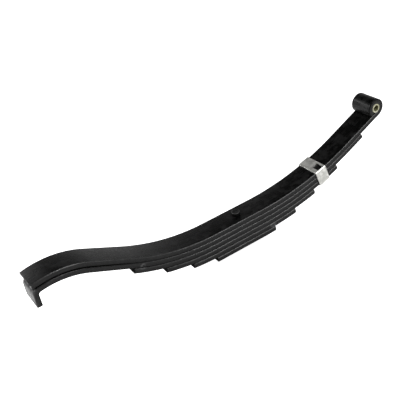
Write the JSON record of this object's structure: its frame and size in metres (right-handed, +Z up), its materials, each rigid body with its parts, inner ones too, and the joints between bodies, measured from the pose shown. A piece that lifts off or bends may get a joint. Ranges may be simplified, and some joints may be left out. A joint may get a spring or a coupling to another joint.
{
  "type": "leaf spring",
  "caption": "Trailer slipper leaf spring: graduated steel leaves on a centre bolt, rolled eye with sleeve bushing at one end, hook at the other, strap clip.",
  "frame": {"origin": "middle of the flat top of the centre bolt's head, which locates the axle seat", "axes": "+X along the spring towards the eye, +Y across its width, +Z up from the short leaves towards the main leaf"},
  "size_m": [0.6997, 0.0482, 0.1722],
  "materials": {
    "black_enamel": "satin black enamel over hot-rolled spring steel",
    "bushing_nylon": "moulded nylon, pale olive",
    "zinc_strap": "zinc-coated strap steel, dull spangle"
  },
  "bodies": {
    "spring_pack": {"main_leaf": "black_enamel", "hook_leaf": "black_enamel", "leaf_3": "black_enamel", "leaf_4": "black_enamel", "leaf_5": "black_enamel", "leaf_6": "black_enamel", "centre_bolt": "black_enamel", "centre_nut": "black_enamel", "rebound_clip": "zinc_strap", "clip_rivet": "zinc_strap"},
    "bushing": {"eye_bushing": "bushing_nylon"}
  },
  "joints": [
    {"name": "bushing_turn", "type": "hinge", "parent": "spring_pack", "child": "bushing", "pos_m": [0.31192, 0, 0.07793], "axis": [0, 1, 0], "continuous": true}
  ]
}
